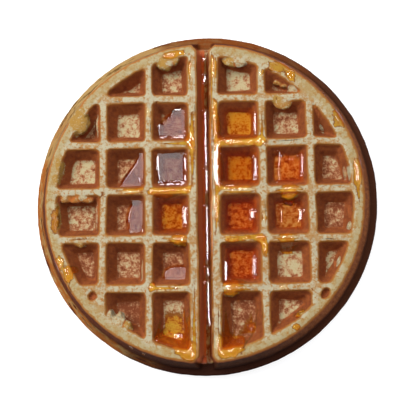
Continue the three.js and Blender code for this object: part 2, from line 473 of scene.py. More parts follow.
# %% Uneven batter
CRACKS_AND_SHADOW_LINE = [
    [(-44.6, 56.0), (-44.3, 54.4), (-44.9, 52.2)],
    [(-65.7, 33.0), (-65.3, 31.0), (-65.8, 29.0)],
    [(-42.9, -43.0), (-42.4, -45.0), (-42.8, -47.2)],
    [(-66.5, -18.6), (-64.6, -19.6), (-63.0, -18.7), (-61.2, -19.8)],
    [(38.3, 54.2), (38.7, 52.2)],
    [(62.5, 6.4), (62.9, 4.4), (62.5, 2.8)],
    [(-24.4, 52.2), (-23.4, 53.6), (-21.8, 55.0)],
    [(5.8, -61.4), (7.6, -59.8), (9.4, -59.2)],
    [(-68.8, -40.0), (-69.8, -43.6), (-68.6, -46.5)],
    [(-26.6, 62.0), (-28.4, 60.6), (-29.6, 61.4)],
    [(-3.4, 20.0), (-5.0, 19.0), (-6.6, 19.8)],
    [(56.0, 36.2), (57.6, 35.4)],
    [(-54.0, 2.2), (-52.6, 3.4), (-50.6, 2.6)],
    [(55.4, -46.8), (57.2, -46.0), (58.6, -46.9)],
    [(29.6, -56.4), (31.4, -57.2), (33.0, -56.5)],
    # the last line is no crack but a painted shadow along a syrup sheet's edge, pressed in as well
    [(26.6, -59.6), (26.0, -65.6), (23.4, -70.0), (20.8, -74.2), (19.0, -79.0)],
]
CRACK_WIDTH, CRACK_DEPTH = 0.75, 0.55
# the size of the bumps, how far they move the crust, and which noise they take
BUMPS = [(9.0, 0.45, 1), (3.4, 0.42, 2)]
LUMP_BUMPS = (1.7, 0.45, 3)
# without a seed, vector noise starts from the clock and every run bakes another waffle
noise.seed_set(3)


def wobble(points, size, amount, seed):
    """Smooth random shifts of about the given amount, over lumps of about the given size."""
    shift = Vector((seed * 17.3, seed * 5.1, seed * 9.7))
    return np.array([noise.noise_vector(Vector(point) / size + shift) for point in points]) * amount


def near_lines(points, lines, width):
    """1 on the lines and 0 further than width from them, seen from above."""
    nearest = np.full(len(points), 1e9)
    for line in lines:
        for (ax, ay), (bx, by) in zip(line, line[1:]):
            dx, dy = bx - ax, by - ay
            along = ((points[:, 0] - ax) * dx + (points[:, 1] - ay) * dy) / (dx * dx + dy * dy)
            along = np.clip(along, 0, 1)
            away = np.hypot(points[:, 0] - ax - along * dx, points[:, 1] - ay - along * dy)
            nearest = np.minimum(nearest, away)
    return np.clip(1 - nearest / width, 0, 1)


def lump_tone(points):
    """The tone of the lump that each point belongs to, 0 for plain crust."""
    tone = np.zeros(len(points))
    for x, y, z, wide, long, tall, shade in LUMPS:
        sizes = np.array([wide, long, tall]) + 0.5
        away = np.linalg.norm((points - (x, y, z)) / sizes, axis=1)
        belongs = np.clip((1.22 - away) / 0.3, 0, 1)
        tone = tone * (1 - belongs) + shade * belongs
    return tone


plain = places(crust)
tone = lump_tone(plain)
shift = sum(wobble(plain, *bumps) for bumps in BUMPS)
shift += wobble(plain, *LUMP_BUMPS) * np.abs(tone)[:, None]
shift *= np.interp(np.hypot(plain[:, 0], plain[:, 1]), [81.5, 84.0], [1.0, 0.35])[:, None]
from_faces = np.minimum(plain[:, 2], THICKNESS - plain[:, 2])
shift[:, 2] *= np.interp(from_faces, [0.0, 1.0, 4.0], [0.25, 0.4, 1.0])
baked = plain + shift
cracks_and_shadow_line = near_lines(baked, CRACKS_AND_SHADOW_LINE, CRACK_WIDTH) * (baked[:, 2] > MIDDLE + 3)
baked[:, 2] -= CRACK_DEPTH * cracks_and_shadow_line
baked[:, 2] = np.maximum(baked[:, 2], 0.0)
set_places(crust, baked)
only(crust)
bpy.ops.object.shade_smooth()

# %% [markdown]
# ## Notes for the finish
# How brown a spot is depends on where it is, so some facts are stored on the mesh for the material:
# how deep a point lay below its face, the tone of the lump it belongs to, the cracks with one line
# of painted shadow, and how long each pocket's floor touched the hot iron.

# %% Facts on the mesh
# 0 is a pale floor and 1 a brown one
TOASTED = {
    (2, 1): 0.3, (3, 1): 0.45, (4, 1): 0.15, (5, 1): 0.3,
    (1, 2): 0.55, (2, 2): 0.2, (3, 2): 0.6, (4, 2): 0.2, (5, 2): 0.5, (6, 2): 0.5,
    (1, 3): 0.18, (2, 3): 0.66, (3, 3): 0.5, (4, 3): 0.2, (5, 3): 0.4, (6, 3): 0.62,
    (1, 4): 0.4, (2, 4): 0.72, (3, 4): 0.45, (4, 4): 0.5, (5, 4): 0.45, (6, 4): 0.72,
    (1, 5): 0.8, (2, 5): 0.58, (3, 5): 0.8, (4, 5): 0.5, (5, 5): 0.22, (6, 5): 0.42,
    (2, 6): 1.0, (3, 6): 0.35, (4, 6): 0.85, (5, 6): 0.5,
}


def store(piece, name, values):
    attribute = piece.data.attributes.new(name, "FLOAT", "POINT")
    attribute.data.foreach_set("value", values.astype(np.float32))


toast = np.full(len(baked), 0.5)
for place, brown in TOASTED.items():
    west, east, south, north = cell_at(*place)
    inside = (
        (plain[:, 0] > west) & (plain[:, 0] < east) & (plain[:, 1] > south) & (plain[:, 1] < north)
    )
    x_share = np.abs(plain[inside, 0] - (west + east) / 2) / ((east - west) / 2 - WALL_INSET)
    y_share = np.abs(plain[inside, 1] - (south + north) / 2) / ((north - south) / 2 - WALL_INSET)
    # each floor is browner towards its edges, near the walls
    edge = np.clip((np.maximum(x_share, y_share) - 0.5) / 0.5, 0, 1)
    toast[inside] = brown + 0.08 + 0.3 * edge**2
store(crust, "depth", from_faces)
store(crust, "tone", tone)
store(crust, "crack", cracks_and_shadow_line)
store(crust, "toast", toast)
print("facts:", len(baked), "points, deepest", round(float(from_faces.max()), 1), "mm")

# %% [markdown]
# ## Shader maths
# Shader maths reads better as Python. The small class below wraps a node's output and adds the
# nodes of an expression, and `node` makes any other node.

# %% Shader expressions


class Term:
    """One value in a material's node tree, with the usual operators."""

    def __init__(self, shader, socket):
        self.shader = shader
        self.socket = socket

    def math(self, operation, *others):
        return self.shader.node("ShaderNodeMath", {"operation": operation}, self, *others)

    def __add__(self, other):
        return self.math("ADD", other)

    def __sub__(self, other):
        return self.math("SUBTRACT", other)

    def __mul__(self, other):
        return self.math("MULTIPLY", other)

    def __truediv__(self, other):
        return self.math("DIVIDE", other)

    def __rsub__(self, other):
        return self.shader.node("ShaderNodeMath", {"operation": "SUBTRACT"}, other, self)

    __radd__ = __add__
    __rmul__ = __mul__

    def between(self, low, high):
        """0 below low, 1 above high, and smooth between them."""
        settings = {"interpolation_type": "SMOOTHSTEP"}
        return self.shader.node("ShaderNodeMapRange", settings, self, low, high, 0.0, 1.0)


class Shader:
    """A material's node tree, filled in step by step."""

    def __init__(self, name):
        self.material = bpy.data.materials.new(name)
        self.material.use_nodes = True
        self.tree = self.material.node_tree
        self.tree.nodes.clear()
        self.output = self.tree.nodes.new("ShaderNodeOutputMaterial")

    def feed(self, socket, value):
        if isinstance(value, Term):
            self.tree.links.new(value.socket, socket)
        elif socket.type == "RGBA" and len(value) == 3:
            socket.default_value = (*value, 1.0)
        else:
            socket.default_value = value

    def node(self, kind, settings=None, *values, out=0, **named):
        made = self.tree.nodes.new(kind)
        for name, value in (settings or {}).items():
            setattr(made, name, value)
        for socket, value in zip(made.inputs, values):
            self.feed(socket, value)
        for name, value in named.items():
            self.feed(made.inputs[name.replace("_", " ")], value)
        return Term(self, made.outputs[out])

    def mix(self, factor, first, second, blend="MIX"):
        """Blends two colours by a factor."""
        made = self.tree.nodes.new("ShaderNodeMix")
        made.data_type = "RGBA"
        made.blend_type = blend
        for number, value in ((0, factor), (6, first), (7, second)):
            self.feed(made.inputs[number], value)
        return Term(self, made.outputs[2])

    def fact(self, name):
        """A value stored on the mesh."""
        return self.node("ShaderNodeAttribute", {"attribute_name": name}, out=2)

    def parts(self, vector):
        return [self.node("ShaderNodeSeparateXYZ", {}, vector, out=i) for i in range(3)]

    def stretched(self, vector, x, y, z):
        return self.node("ShaderNodeVectorMath", {"operation": "MULTIPLY"}, vector, (x, y, z))

    def noise(self, where, scale, detail=2.0, roughness=0.5, distortion=0.0):
        return self.node(
            "ShaderNodeTexNoise",
            {},
            Vector=where,
            Scale=scale,
            Detail=detail,
            Roughness=roughness,
            Distortion=distortion,
        )

    def finish(self, surface, volume=None):
        self.tree.links.new(surface.socket, self.output.inputs["Surface"])
        if volume:
            self.tree.links.new(volume.socket, self.output.inputs["Volume"])
        return self.material


def srgb(red, green, blue):
    """A colour given as on a screen, 0 to 255, as the linear light a shader works with."""

    def linear(value):
        value /= 255
        return value / 12.92 if value <= 0.04045 else ((value + 0.055) / 1.055) ** 2.4

    return (linear(red), linear(green), linear(blue))


def lit(red, green, blue, light=1.71):
    """The colour of a surface that should look so under the given amount of studio light."""
    return tuple(part / light for part in srgb(red, green, blue))


# %% [markdown]
# ## What the crust's layers ask
# Each colour of the crust is laid over the last by a mask made from depth, slope and noise. The
# layers ask the same things about a spot, so these are worked out once. Streaks run up the walls,
# and the far side from the window is marked for painted shade.

# %% Facts about a spot


def spot_facts(s):
    where = s.node("ShaderNodeTexCoord", {}, out=3)
    x, y, z = s.parts(where)
    facing = s.node("ShaderNodeNewGeometry", {}, out=1)
    radius = (x * x + y * y).math("SQRT") / MM
    east, north = x / MM / radius, y / MM / radius
    broad = s.noise(where, 60.0, 2.0)
    patch = s.noise(where, 170.0, 3.0, 0.6)
    blotch = s.noise(where, 430.0, 3.0, 0.6)
    grain = s.noise(where, 1100.0, 3.0, 0.6)
    streaks = s.noise(s.stretched(where, 2.2, 2.2, 0.5), 260.0, 3.0, 0.6)
    stored = {name: s.fact(name) for name in ("depth", "tone", "crack", "toast", "brink")}
    return SimpleNamespace(
        where=where, x=x, y=y, z=z, radius=radius, east=east, north=north,
        broad=broad, patch=patch, blotch=blotch, grain=grain, streaks=streaks,
        up=s.parts(facing)[2].math("ABSOLUTE"),
        ragged=stored["depth"] + (blotch - 0.5) * 1.6 + (grain - 0.5) * 0.9,
        # painted shade: 1 on the side turned away from the window, where the crust is painted darker
        to_dark=(east * 0.86 - north * 0.51 + (broad - 0.5) * 0.5).between(-0.35, 0.35),
        **stored,
    )


# %% [markdown]
# ## Ribs and rim
# The ribs' tops touched the iron's valleys and stayed cream, with tan and golden flecks. Towards
# the rim they turn olive, and on the side away from the window the rim's edge gets painted shade.

# %% Colour of the ribs' tops
CREAM = lit(206, 194, 161)
GREY_CREAM = lit(195, 185, 156)
TAN = lit(190, 150, 100)
GOLDEN = lit(184, 122, 58)
RIM_OLIVE = lit(186, 162, 106)
RIM_PAINTED_SHADE = lit(184, 134, 76)


def top_colour(s, spot):
    patch, blotch, grain = spot.patch, spot.blotch, spot.grain
    top = s.mix((patch + grain * 0.5).between(0.62, 0.9), CREAM, GREY_CREAM)
    tan = blotch * 0.6 + patch * 0.4 + grain * 0.2 + spot.broad * 0.2
    top = s.mix(tan.between(0.64, 0.78), top, TAN)
    top = s.mix((grain * 0.6 + blotch * 0.6).between(0.63, 0.78) * 0.8, top, GOLDEN)
    olive = spot.radius + (patch - 0.5) * 9.0 + (blotch - 0.5) * 5.0
    top = s.mix(olive.between(76.0, 80.0) * 0.6, top, RIM_OLIVE)
    # painted shade: the rim's edge is browner on the side away from the window
    rim_painted_shade = (spot.radius + (blotch - 0.5) * 3.0).between(81.2, 83.6) * spot.to_dark
    top = s.mix(rim_painted_shade, top, RIM_PAINTED_SHADE)
    edge = spot.brink + (blotch - 0.5) * 0.5 + (grain - 0.5) * 0.4
    return s.mix(edge.between(0.22, 0.55) * 0.85, top, GOLDEN)


# %% [markdown]
# ## Pocket walls and floors
# Below the top runs a thin golden edge, then the walls turn orange and red brown. Floors are
# crumbly: cream where they barely touched the iron, salmon and brown where they did.

# %% Colours inside the pockets
ORANGE_BROWN = lit(184, 108, 50, 1.55)
WALL_LIGHT = lit(174, 98, 52, 1.45)
WALL_DARK = lit(142, 75, 45, 1.45)
FLOOR_CREAM = lit(202, 188, 144, 1.6)
FLOOR_SALMON = lit(178, 118, 80, 1.5)
FLOOR_BROWN = lit(126, 67, 40, 1.5)


def with_pockets(s, spot, skin):
    """The skin so far, with the pockets' walls laid below its edges and the floors in them."""
    in_streaks = (spot.streaks * 0.6 + spot.patch * 0.4).between(0.3, 0.7)
    wall = s.mix(in_streaks, WALL_DARK, WALL_LIGHT)
    for start, end, colour in ((0.1, 0.6, GOLDEN), (0.5, 1.0, ORANGE_BROWN), (1.0, 2.2, wall)):
        skin = s.mix(spot.ragged.between(start, end), skin, colour)

    crumb = s.noise(spot.where, 380.0, 4.0, 0.6)
    heat = crumb * 0.9 + spot.patch * 0.3 - 0.1
    heat = heat + (spot.toast - 0.5) * 0.24 + (spot.grain - 0.5) * 0.5
    ground = s.mix(heat.between(0.36, 0.62), FLOOR_CREAM, FLOOR_SALMON)
    ground = s.mix(heat.between(0.5, 0.74), ground, FLOOR_BROWN)
    specks = (spot.grain * 0.6 + spot.blotch * 0.4).between(0.56, 0.7)
    ground = s.mix(specks * 0.3, ground, WALL_DARK)
    deep = (spot.depth + (spot.blotch - 0.5) * 2.4).between(7.6, 9.6)
    return s.mix(deep * spot.up.between(0.55, 0.9), skin, ground)


# %% [markdown]
# ## The side and the groove
# The side browned in thin layers that run round it: the ridge is orange with beige. Painted light
# makes it beige and olive at the upper left, towards the window, and painted shade makes it near
# black at the lower right and the bottom. The groove's west wall lies in shade and is painted a
# lighter red brown.

# %% Colours of the side
# painted light: the groove's west wall lies in shade, so it gets this lighter red brown
GROOVE_WALL_PAINTED_LIGHT = lit(164, 88, 50, 0.75)
SIDE_BEIGE = lit(180, 146, 92, 1.5)
SIDE_OLIVE = lit(118, 84, 42, 1.5)
SIDE_ORANGE = lit(164, 96, 40, 1.4)
SIDE_BROWN = lit(122, 58, 20, 1.7)
SIDE_RED = lit(98, 38, 11, 1.7)
# painted shade for the side turned away from the window
SIDE_PAINTED_SHADE = lit(132, 74, 36, 0.93)
SIDE_PAINTED_DEEP_SHADE = lit(62, 32, 18, 0.9)
SIDE_SOUTH_PAINTED_SHADE = lit(46, 18, 8, 1.7)


def side_colour(s, spot):
    east, north = spot.east, spot.north
    angle = spot.x.math("ARCTAN2", 0.0 - spot.y)
    ring = s.node("ShaderNodeCombineXYZ", {}, angle * 0.010, spot.radius * MM, spot.z)
    layers = s.noise(ring, 240.0, 3.0, 0.6)
    thin_layers = s.noise(ring, 700.0, 3.0, 0.6)
    height = spot.z / MM + (layers - 0.5) * 3.0

    in_ridge = (thin_layers * 0.6 + spot.patch * 0.4).between(0.46, 0.6)
    ridge = s.mix(in_ridge, SIDE_ORANGE, SIDE_BEIGE)
    ridge = s.mix((thin_layers * 0.5 + layers * 0.5).between(0.53, 0.6), ridge, SIDE_RED)
    ridge = s.mix((north + east * 0.5).between(0.55, 0.95) * 0.75, ridge, SIDE_BROWN)
    in_streaks = spot.streaks.between(0.35, 0.65)
    side = s.mix(height.between(18.5, 15.5), s.mix(in_streaks, SIDE_RED, SIDE_BROWN), ridge)

    # painted light: beige and olive on the side towards the window
    beige = s.mix(thin_layers.between(0.52, 0.62), SIDE_BEIGE, SIDE_OLIVE)
    painted_light_side = (north * 0.72 - east * 0.69 + (spot.broad - 0.5) * 0.4).between(0.78, 0.98)
    side = s.mix(painted_light_side, side, beige)

    # painted shade: near black on the side away from the window, low down, and at the top on the
    # south
    dark = s.mix(in_streaks * 0.5, SIDE_PAINTED_SHADE, SIDE_RED)
    dark = s.mix(height.between(21.0, 16.5), dark, SIDE_PAINTED_DEEP_SHADE)
    painted_shade_south = (0.0 - north - east * 0.2).between(0.45, 0.95)
    dark = s.mix(painted_shade_south * height.between(27.0, 25.0) * 0.85, dark, SIDE_SOUTH_PAINTED_SHADE)
    return s.mix(spot.to_dark, side, dark)


def with_outside(s, spot, skin):
    """The skin so far, with the side outside the rim and painted light on the groove's west wall."""
    outside = spot.radius.between(82.4, 83.6) * spot.ragged.between(0.5, 1.6)
    skin = s.mix(outside, skin, side_colour(s, spot))
    # painted light on the groove's shaded west wall
    across = spot.x / MM
    on_wall = across.between(GROOVE_MIDDLE, GROOVE_MIDDLE - 0.8) * across.between(-4.2, -3.4)
    on_wall = on_wall * spot.ragged.between(0.8, 2.2) * spot.radius.between(84.0, 82.0)
    return s.mix(on_wall, skin, GROOVE_WALL_PAINTED_LIGHT)


# %% [markdown]
# ## Lumps, cracks, painted shadows and soaked crust
# Lumps are pale or golden batter, and cracks are brown, one of them a painted shadow line. Crust
# that drank syrup is multiplied with the syrup's colour, inside a thin dark line of painted shadow
# where the syrup stopped.

# %% Crust material
LUMP_PALE = lit(204, 192, 156)
LUMP_GOLD = lit(186, 142, 70)
CRACK_AND_SHADOW_BROWN = lit(134, 80, 40)
# painted shadow: the thin dark line at a syrup film's edge
FILM_EDGE_PAINTED_SHADOW = lit(142, 86, 36)
# what syrup takes away from the colour of a crust that drank it
AMBER_STAIN = (0.94, 0.60, 0.10)


def with_marks(s, spot, skin):
    blotch, grain = spot.blotch, spot.grain
    mottle = (grain - 0.5) * 0.8 + (blotch - 0.5) * 0.8
    mixed = grain * 0.5 + blotch * 0.5
    batter = s.mix(mixed.between(0.44, 0.6), LUMP_PALE, TAN)
    gold = s.mix(mixed.between(0.5, 0.68), LUMP_GOLD, LUMP_PALE)
    skin = s.mix((spot.tone + mottle).between(0.25, 0.7), skin, batter)
    skin = s.mix((0.0 - spot.tone + mottle).between(0.25, 0.7), skin, gold)
    # brown cracks, and one line of painted shadow drawn with them
    skin = s.mix((spot.crack + mottle).between(0.25, 0.75), skin, CRACK_AND_SHADOW_BROWN)
    wet = s.fact("soak") + (grain - 0.5) * 0.4 + (blotch - 0.5) * 0.5
    stained = s.mix(1.0, skin, AMBER_STAIN, "MULTIPLY")
    # a thin line of painted shadow under a film's edge, and inside it the syrup stain
    return s.mix(wet.between(0.2, 0.34), skin, s.mix(wet.between(0.34, 0.5), FILM_EDGE_PAINTED_SHADOW, stained))


def crust_material():
    s = Shader("baked_crust")
    spot = spot_facts(s)
    skin = top_colour(s, spot)
    for lay in (with_pockets, with_outside, with_marks):
        skin = lay(s, spot, skin)
    relief = spot.grain * 0.5 + spot.blotch * 0.7 + s.noise(spot.where, 2400.0, 2.0) * 0.25
    normal = s.node("ShaderNodeBump", {}, Strength=0.7, Distance=0.0008, Height=relief)
    surface = s.node(
        "ShaderNodeBsdfPrincipled",
        {},
        Base_Color=skin,
        Roughness=0.75,
        Specular_IOR_Level=0.06,
        Coat_Weight=s.fact("glaze"),
        Coat_Roughness=0.15,
        Coat_IOR=1.45,
        Normal=normal,
    )
    return s.finish(surface)


crust.data.materials.clear()
crust.data.materials.append(crust_material())
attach(crust, "root")
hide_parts("waffle")

# %% [markdown]
# ## Syrup
# Syrup is clear and amber: the deeper it lies, the less blue and green come back. It lets light
# through to the crust below, so rays from lamps pass straight.

# %% Syrup material


def syrup_material(name, colour, density):
    s = Shader(name)
    glossy = s.node(
        "ShaderNodeBsdfPrincipled",
        {},
        Base_Color=(1.0, 0.97, 0.9),
        Roughness=0.02,
        IOR=1.48,
        Transmission_Weight=1.0,
    )
    clear = s.node("ShaderNodeBsdfTransparent", {}, Color=(1.0, 0.97, 0.9))
    lamp_ray = s.node("ShaderNodeLightPath", {}, out=1)
    surface = s.node("ShaderNodeMixShader", {}, lamp_ray, glossy, clear)
    volume = s.node("ShaderNodeVolumeAbsorption", {}, Color=colour, Density=density)
    return s.finish(surface, volume)


AMBER = syrup_material("amber_syrup", (0.93, 0.735, 0.12), 280.0)
RED_AMBER = syrup_material("red_amber_syrup", (0.93, 0.64, 0.14), 280.0)
DARK_AMBER = syrup_material("dark_amber_syrup", (0.88, 0.61, 0.14), 280.0)
DEEP_AMBER = syrup_material("deep_amber_syrup", (0.72, 0.40, 0.01), 400.0)
print("materials:", [material.name for material in bpy.data.materials])

# %% [markdown]
# ## The lie of the land
# Syrup follows what it lies on. A grid of heights, read by dropping a ray on every half millimetre,
# tells each pool and drip where the crust is.

# %% Heights seen from above
CELL = 0.5
REACH = 92.0
LINES = np.arange(-REACH, REACH + CELL / 2, CELL)


def heights(pieces):
    """The height in mm of the highest surface over each grid point. Off the waffle it is 0."""
    corners, faces = [], []
    for piece in pieces:
        start = len(corners)
        corners += [tuple(place) for place in places(piece)]
        faces += [[start + i for i in face.vertices] for face in piece.data.polygons]
    tree = BVHTree.FromPolygons(corners, faces)
    grid = np.zeros((len(LINES), len(LINES)))
    down = Vector((0, 0, -1))
    for i, x in enumerate(LINES):
        for j, y in enumerate(LINES):
            if x * x + y * y < REACH * REACH:
                hit = tree.ray_cast(Vector((x, y, 60)), down)[0]
                grid[i, j] = hit.z if hit else 0.0
    return grid


def soften(grid, cells, times=2):
    """Averages each point with its neighbours up to so many cells away."""
    for _ in range(times):
        for axis in (0, 1):
            around = [np.roll(grid, step, axis) for step in range(-cells, cells + 1)]
            grid = sum(around) / len(around)
    return grid


def read(grid, x, y):
    """The grid's value at any points, blended between the four around each."""
    u, v = (np.clip((np.asarray(p) + REACH) / CELL, 0, len(LINES) - 1.001) for p in (x, y))
    i, j = u.astype(int), v.astype(int)
    u, v = u - i, v - j
    return (
        grid[i, j] * (1 - u) * (1 - v)
        + grid[i + 1, j] * u * (1 - v)
        + grid[i, j + 1] * (1 - u) * v
        + grid[i + 1, j + 1] * u * v
    )


crust_height = heights([crust])
# a rib's top is near its brink where the crust around it lies lower
near_edge = THICKNESS - read(soften(crust_height, 2, 1), baked[:, 0], baked[:, 1])
store(crust, "brink", np.where(baked[:, 2] > MIDDLE, np.minimum(near_edge, 3.0), 0.5))
print("heights:", crust_height.shape, "highest", round(float(crust_height.max()), 2), "mm")

# %% [markdown]
# ## Lamps and eye
# Bright lines on syrup are lamps mirrored in it. Each lamp gets its place now, and so does the eye,
# so that a swelling beside a wall can be tilted until it mirrors a lamp.

# %% Where the lamps and the eye are
WAFFLE = (0, 0, 0.02)
# place, what it faces, size around and size outwards, all in metres, then brightness and colour
LAMPS = {
    "window": ((-0.66, 0.34, 0.90), WAFFLE, (0.53, 0.30), 10.2, (1.0, 0.98, 0.95)),
    "west_strip": ((-0.50, 0.16, 0.95), WAFFLE, (0.52, 0.15), 27.0, (1.0, 0.99, 0.97)),
    "east_strip": ((0.36, 0.16, 0.95), WAFFLE, (0.44, 0.08), 27.0, (1, 1, 1)),
    "north_strip": ((-0.10, 0.55, 0.95), WAFFLE, (0.50, 0.09), 27.0, (1, 1, 1)),
    "sky_sheet": ((-0.167, 0.155, 1), (-0.167, 0.155, 0), (0.12, 0.33), 4.2, (1.0, 0.98, 0.96)),
    "groove_tube": ((-0.086, 0.14, 1), (-0.086, 0.14, 0), (0.024, 0.48), 38.0, (1, 1, 1)),
}
EAST_TILT, SOUTH_TILT, ROLL = 5.0, 8.0, -0.457
EYE_DISTANCE = 550.0
EYE_AIM = Vector((1.464, -2.344, MIDDLE))
# how far about a mirrored spot on a lamp moves, in mm, when the mirror leans by 1
LAMP_SHIFT = 1900

tilts = (math.tan(math.radians(EAST_TILT)), -math.tan(math.radians(SOUTH_TILT)), 1)
back = Vector(tilts).normalized()
EYE = EYE_AIM + back * EYE_DISTANCE
TOWARDS = {"west": (-1, 0, 0), "east": (1, 0, 0), "north": (0, 1, 0)}


def mirror_slope(x, y, way):
    """How steeply a surface has to fall towards that side to mirror the side's strip lamp.
    The spot on the lamp is moved along it until the surface need not lean sideways as well."""
    spot = Vector((x, y, THICKNESS - 3))
    lamp = Vector(LAMPS[way + "_strip"][0]) / MM
    toward = Vector(TOWARDS[way])
    sideways = Vector((toward.y, toward.x, 0))
    strip = Vector((lamp.y, -lamp.x, 0)).normalized()
    for _ in range(5):
        halfway = (EYE - spot).normalized() + (lamp - spot).normalized()
        lamp -= strip * LAMP_SHIFT * halfway.dot(sideways) / halfway.z / strip.dot(sideways)
    return halfway.dot(toward) / halfway.z


for way in TOWARDS:
    print(way, "slope in the middle", round(mirror_slope(0, 0, way), 3))

# %% [markdown]
# ## The pools
# A pool starts as a sphere that is spread out to the pocket's walls, or to the edge where the flow
# stopped. First we need how far that is in every direction: for a pocket, a rounded rectangle, and
# for a flow, a drawn outline that is then rounded.

# %% How far a pool reaches
TURN = np.radians(np.arange(-180, 181))


def box_reach(half_wide, half_long, corner):
    """How far a rounded rectangle reaches from its middle, in every direction."""
    x, y = np.abs(np.cos(TURN)), np.abs(np.sin(TURN))
    flat = np.minimum(half_wide / np.maximum(x, 1e-9), half_long / np.maximum(y, 1e-9))
    cx, cy = half_wide - corner, half_long - corner
    in_corner = (flat * x > cx) & (flat * y > cy)
    along = x * cx + y * cy
    arc = along + np.sqrt(np.maximum(0.0, along * along - (cx * cx + cy * cy - corner * corner)))
    return np.where(in_corner, arc, flat)


def rounded(outline, times=3):
    """Cuts the corners of an outline again and again until it is round."""
    for _ in range(times):
        following = np.roll(outline, -1, axis=0)
        near, far = outline * 0.75 + following * 0.25, outline * 0.25 + following * 0.75
        outline = np.stack([near, far], axis=1).reshape(-1, 2)
    return outline


def outline_reach(centre, outline, spread=2):
    """How far a drawn outline reaches from its middle, with its corners rounded."""
    corners = rounded(np.array(outline, float)) - centre
    c, s = np.cos(TURN), np.sin(TURN)
    reach = np.zeros(len(TURN))
    for (ax, ay), (bx, by) in zip(corners, np.roll(corners, -1, axis=0)):
        across = c * (by - ay) - s * (bx - ax)
        across[np.abs(across) < 1e-9] = 1e-9
        far = (ax * (by - ay) - ay * (bx - ax)) / across
        share = (ax * s - ay * c) / across
        hit = (share > -1e-6) & (share < 1 + 1e-6) & (far > 0)
        reach[hit] = np.maximum(reach[hit], far[hit])
    around = reach[:-1]
    around = sum(np.roll(around, step) for step in range(-spread, spread + 1)) / (2 * spread + 1)
    return np.append(around, around[0])


print("from a 20 mm square's middle to its round corner:", box_reach(10, 10, 3)[225].round(2), "mm")

# %% [markdown]
# ## A sphere, spread out
# A sphere is closed and has no thin edge, so it makes good syrup. Its plan is widened, and its
# upper and lower halves are set to any two heights.

# %% Spread a sphere


def spread_sphere(name, centre, reach, top, floor, spokes, rings):
    """A sphere whose plan is widened to reach, with its upper half at top(x, y, share)
    and its lower half down to floor(x, y). share is 0 in the middle and 1 at the edge."""
    bpy.ops.object.select_all(action="DESELECT")
    bpy.ops.mesh.primitive_uv_sphere_add(segments=spokes, ring_count=rings, radius=MM)
    piece = bpy.context.object
    piece.name = piece.data.name = name
    ball = places(piece)
    share = np.minimum(np.hypot(ball[:, 0], ball[:, 1]), 1.0)
    angle = np.arctan2(ball[:, 1], ball[:, 0])
    far = np.interp(angle, TURN, reach)
    x = centre[0] + share * far * np.cos(angle)
    y = centre[1] + share * far * np.sin(angle)
    upper = top(x, y, share)
    lower = floor(x, y)
    lower = lower + (upper - lower) * share**8
    z = np.where(ball[:, 2] > -1e-4, upper, np.minimum(lower, upper))
    set_places(piece, np.stack([x, y, z], axis=1))
    bpy.ops.object.shade_smooth()
    return piece


# %% [markdown]
# ## The pools' tops
# Against a wall a pool climbs a little, as thick syrup does, and at a free edge it rounds down.
# Those curved rims catch the light. Beside a few walls the syrup also swells in a small step whose
# flank mirrors a lamp as a white bar.

# %% Tops of the pools
SOFT_EDGE = 0.14


def bent(distance):
    """The distance without its sign, but rounded where it passes zero."""
    return SOFT_EDGE * np.logaddexp(distance / SOFT_EDGE, -distance / SOFT_EDGE)


def swell(lean, x, y, middle_x, middle_y, width, half_length, way, bow=0.0):
    """A step up to a wall, whose even flank falls towards way and mirrors that side's lamp.
    lean is the slope that the pool already has, and bow bends the flank along its length."""
    toward = TOWARDS[way]
    along = (x - middle_x) * toward[1] + (y - middle_y) * toward[0]
    up = bow * along**2 - (x - middle_x) * toward[0] - (y - middle_y) * toward[1]
    step = (width + bent(up + width / 2) - bent(up - width / 2)) / 2
    slope = mirror_slope(middle_x, middle_y, way) + lean[0] * toward[0] + lean[1] * toward[1]
    return slope * step * np.exp(-((along / half_length / 1.06) ** 8))


def pool_top(level, climb, width, bead, centre, reach, lean, swells):
    """The top of a pool: level, and climbing the walls. Within bead of a free edge, where the crust
    is lower, it rounds down to the floor. A pool with no bead has walls all round."""
    shore_x = centre[0] + reach * np.cos(TURN)
    shore_y = centre[1] + reach * np.sin(TURN)
    shore = read(shore_height, shore_x, shore_y)
    wall = np.clip((shore - level + 0.8) / 1.2, 0, 1) if bead else np.ones(len(TURN))
    creep = [noise.noise(Vector((a / 2.6, b / 2.6, level))) for a, b in zip(shore_x, shore_y)]
    south_east = 0.6 + 0.4 * np.cos(TURN + math.radians(45))
    steps = np.hypot(np.diff(shore_x, append=shore_x[0]), np.diff(shore_y, append=shore_y[0]))
    share_each = wall * south_east * steps * (1 + 0.9 * np.array(creep))
    share_each /= width * math.sqrt(2 * math.pi)

    def top(x, y, share):
        surface = level + lean[0] * (x - centre[0]) + lean[1] * (y - centre[1])
        away = (x[:, None] - shore_x) ** 2 + (y[:, None] - shore_y) ** 2
        climbed = surface + climb * (np.exp(-away / (2 * width * width)) @ share_each)
        for each in swells:
            climbed += swell(lean, x, y, *each)
        if not bead:
            return climbed
        free = 1 - np.interp(np.arctan2(y - centre[1], x - centre[0]), TURN, wall)
        bend = np.clip(np.sqrt(away.min(axis=1)) / bead, 0, 1)
        foot = THICKNESS - POCKET_DEPTH - 0.5
        fallen = foot + (surface - foot) * np.sqrt(np.clip(1 - (1 - bend) ** 2, 0, 1))
        return climbed * (1 - free) + fallen * free

    return top


# %% [markdown]
# ## Pouring
# Every pool reaches a little into the crust around and below it, so that no gap shows. Dark syrup
# is thick and climbs further than clear syrup.

# %% One pool
INTO_WALL = 0.7
POOL_CORNER = 2.8
UNDER_FLOOR = 0.8
POOL_SPOKES, POOL_RINGS = 144, 80
# climb at a wall and how far it reaches
DARK_CLIMB, CLEAR_CLIMB = (0.34, 1.0), (0.015, 0.6)


